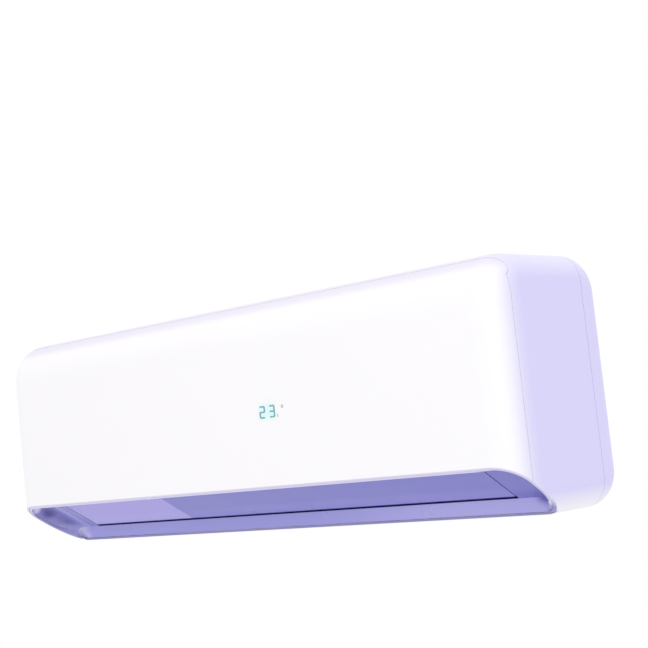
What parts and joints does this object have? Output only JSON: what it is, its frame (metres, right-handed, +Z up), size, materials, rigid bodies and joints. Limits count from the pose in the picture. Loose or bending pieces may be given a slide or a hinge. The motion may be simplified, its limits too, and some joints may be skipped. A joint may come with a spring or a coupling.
{
  "type": "mini split indoor unit",
  "caption": "Wall-mounted split air conditioner indoor unit with a hinged white front, a closed bottom louver, top filters, and the fan, coil and drain inside.",
  "frame": {"origin": "middle of the wall plate's four bolt holes, on the wall, 150 mm above the underside", "axes": "+X along the unit, to the right seen from the room; +Y into the wall; +Z up; the front faces -Y"},
  "size_m": [0.81, 0.2, 0.268],
  "materials": {
    "shell": "smooth satin white with a cool cast",
    "outlet": "smooth violet grey",
    "vane_plastic": "matt",
    "display_light": "pale teal numerals",
    "circuit_board": "matt solder mask",
    "components": "matt black",
    "grille_plastic": "matt",
    "filter_plastic": "matt dark frame and mesh",
    "fan_plastic": "matt dark",
    "pan_plastic": "matt",
    "box_plastic": "matt flame resistant",
    "rubber": "matt black",
    "insulation": "off-white foam sleeve",
    "shaft_steel": "ground",
    "zinc_steel": "zinc coated sheet",
    "motor_steel": "drawn steel shell",
    "fin_aluminium": "bare thin fins",
    "copper": "bright copper",
    "nut_brass": "machined",
    "switch_plastic": "matt black",
    "bearing_bronze": "sintered"
  },
  "bodies": {
    "unit": {"casing": "shell", "base_chassis": "shell", "inlet_grille": "grille_plastic", "outlet_bezel": "outlet", "louver_bushes": "vane_plastic", "louver_support": "vane_plastic", "louver_motor": "motor_steel", "vane_rail_left": "vane_plastic", "vane_rail_right": "vane_plastic", "bearing_seat": "rubber", "fan_bearing": "bearing_bronze", "fan_motor": "motor_steel", "motor_cushion": "rubber", "motor_strap": "zinc_steel", "evaporator_fins_lower": "fin_aluminium", "evaporator_fins_upper": "fin_aluminium", "evaporator_fins_rear": "fin_aluminium", "evaporator_hairpins": "copper", "evaporator_return_bends": "copper", "evaporator_end_plates": "zinc_steel", "liquid_pipe": "copper", "suction_pipe": "copper", "pipe_insulation": "insulation", "flare_nuts": "nut_brass", "pipe_clamp": "grille_plastic", "drain_pan": "pan_plastic", "drain_plug": "rubber", "electrical_box": "box_plastic", "electrical_cover": "box_plastic", "cover_screws": "shaft_steel", "control_board": "circuit_board", "board_components": "components", "terminal_block": "switch_plastic", "button_switch": "switch_plastic", "temperature_sensors": "copper", "wall_plate": "zinc_steel"},
    "panel": {"front_panel": "shell", "display_digits": "display_light", "display_board": "circuit_board"},
    "louver": {"louver": "outlet"},
    "fan": {"cross_flow_fan": "fan_plastic", "fan_shaft": "shaft_steel"},
    "filter_left": {"filter_left": "filter_plastic"},
    "filter_right": {"filter_right": "filter_plastic"},
    "button": {"emergency_button": "grille_plastic"},
    "link_left": {"link_bar_left": "vane_plastic"},
    "link_right": {"link_bar_right": "vane_plastic"},
    "vane_left_1": {"vane_left_1": "vane_plastic"},
    "vane_left_2": {"vane_left_2": "vane_plastic"},
    "vane_left_3": {"vane_left_3": "vane_plastic"},
    "vane_left_4": {"vane_left_4": "vane_plastic"},
    "vane_left_5": {"vane_left_5": "vane_plastic"},
    "vane_left_6": {"vane_left_6": "vane_plastic"},
    "vane_right_1": {"vane_right_1": "vane_plastic"},
    "vane_right_2": {"vane_right_2": "vane_plastic"},
    "vane_right_3": {"vane_right_3": "vane_plastic"},
    "vane_right_4": {"vane_right_4": "vane_plastic"},
    "vane_right_5": {"vane_right_5": "vane_plastic"},
    "vane_right_6": {"vane_right_6": "vane_plastic"}
  },
  "joints": [
    {"name": "panel_hinge", "type": "hinge", "parent": "unit", "child": "panel", "pos_m": [0, -0.176, 0.103], "axis": [-1, 0, 0], "range_deg": [0, 60]},
    {"name": "louver_tilt", "type": "hinge", "parent": "unit", "child": "louver", "pos_m": [0, -0.12197, -0.11611], "axis": [1, 0, 0], "range_deg": [0, 85]},
    {"name": "fan_spin", "type": "hinge", "parent": "unit", "child": "fan", "pos_m": [0, -0.093, -0.031], "axis": [1, 0, 0], "continuous": true},
    {"name": "filter_left_lift", "type": "slide", "parent": "unit", "child": "filter_left", "axis": [0, 0, 1], "range_m": [0, 0.06]},
    {"name": "filter_right_lift", "type": "slide", "parent": "unit", "child": "filter_right", "axis": [0, 0, 1], "range_m": [0, 0.06]},
    {"name": "button_press", "type": "slide", "parent": "unit", "child": "button", "axis": [0, 1, 0], "range_m": [0, 0.0015], "stiffness_N_per_m": 400},
    {"name": "vane_left_1_turn", "type": "hinge", "parent": "unit", "child": "vane_left_1", "pos_m": [-0.3, -0.09686, -0.11486], "axis": [0, -0.7071, 0.7071], "range_deg": [-35, 35]},
    {"name": "vane_left_2_turn", "type": "hinge", "parent": "unit", "child": "vane_left_2", "pos_m": [-0.248, -0.09686, -0.11486], "axis": [0, -0.7071, 0.7071], "range_deg": [-35, 35]},
    {"name": "vane_left_3_turn", "type": "hinge", "parent": "unit", "child": "vane_left_3", "pos_m": [-0.196, -0.09686, -0.11486], "axis": [0, -0.7071, 0.7071], "range_deg": [-35, 35]},
    {"name": "vane_left_4_turn", "type": "hinge", "parent": "unit", "child": "vane_left_4", "pos_m": [-0.144, -0.09686, -0.11486], "axis": [0, -0.7071, 0.7071], "range_deg": [-35, 35]},
    {"name": "vane_left_5_turn", "type": "hinge", "parent": "unit", "child": "vane_left_5", "pos_m": [-0.092, -0.09686, -0.11486], "axis": [0, -0.7071, 0.7071], "range_deg": [-35, 35]},
    {"name": "vane_left_6_turn", "type": "hinge", "parent": "unit", "child": "vane_left_6", "pos_m": [-0.04, -0.09686, -0.11486], "axis": [0, -0.7071, 0.7071], "range_deg": [-35, 35]},
    {"name": "link_left_turn", "type": "hinge", "parent": "vane_left_1", "child": "link_left", "pos_m": [-0.3, -0.08908, -0.09365], "axis": [0, -0.7071, 0.7071], "range_deg": [-35, 35]},
    {"name": "vane_right_1_turn", "type": "hinge", "parent": "unit", "child": "vane_right_1", "pos_m": [0.026, -0.09686, -0.11486], "axis": [0, -0.7071, 0.7071], "range_deg": [-35, 35]},
    {"name": "vane_right_2_turn", "type": "hinge", "parent": "unit", "child": "vane_right_2", "pos_m": [0.078, -0.09686, -0.11486], "axis": [0, -0.7071, 0.7071], "range_deg": [-35, 35]},
    {"name": "vane_right_3_turn", "type": "hinge", "parent": "unit", "child": "vane_right_3", "pos_m": [0.13, -0.09686, -0.11486], "axis": [0, -0.7071, 0.7071], "range_deg": [-35, 35]},
    {"name": "vane_right_4_turn", "type": "hinge", "parent": "unit", "child": "vane_right_4", "pos_m": [0.182, -0.09686, -0.11486], "axis": [0, -0.7071, 0.7071], "range_deg": [-35, 35]},
    {"name": "vane_right_5_turn", "type": "hinge", "parent": "unit", "child": "vane_right_5", "pos_m": [0.234, -0.09686, -0.11486], "axis": [0, -0.7071, 0.7071], "range_deg": [-35, 35]},
    {"name": "vane_right_6_turn", "type": "hinge", "parent": "unit", "child": "vane_right_6", "pos_m": [0.286, -0.09686, -0.11486], "axis": [0, -0.7071, 0.7071], "range_deg": [-35, 35]},
    {"name": "link_right_turn", "type": "hinge", "parent": "vane_right_1", "child": "link_right", "pos_m": [0.026, -0.08908, -0.09365], "axis": [0, -0.7071, 0.7071], "range_deg": [-35, 35]}
  ],
  "couplings": [
    {"joint": "vane_left_2_turn", "follows": "vane_left_1_turn", "ratio": 1},
    {"joint": "vane_left_3_turn", "follows": "vane_left_1_turn", "ratio": 1},
    {"joint": "vane_left_4_turn", "follows": "vane_left_1_turn", "ratio": 1},
    {"joint": "vane_left_5_turn", "follows": "vane_left_1_turn", "ratio": 1},
    {"joint": "vane_left_6_turn", "follows": "vane_left_1_turn", "ratio": 1},
    {"joint": "link_left_turn", "follows": "vane_left_1_turn", "ratio": -1},
    {"joint": "vane_right_2_turn", "follows": "vane_right_1_turn", "ratio": 1},
    {"joint": "vane_right_3_turn", "follows": "vane_right_1_turn", "ratio": 1},
    {"joint": "vane_right_4_turn", "follows": "vane_right_1_turn", "ratio": 1},
    {"joint": "vane_right_5_turn", "follows": "vane_right_1_turn", "ratio": 1},
    {"joint": "vane_right_6_turn", "follows": "vane_right_1_turn", "ratio": 1},
    {"joint": "link_right_turn", "follows": "vane_right_1_turn", "ratio": -1}
  ]
}
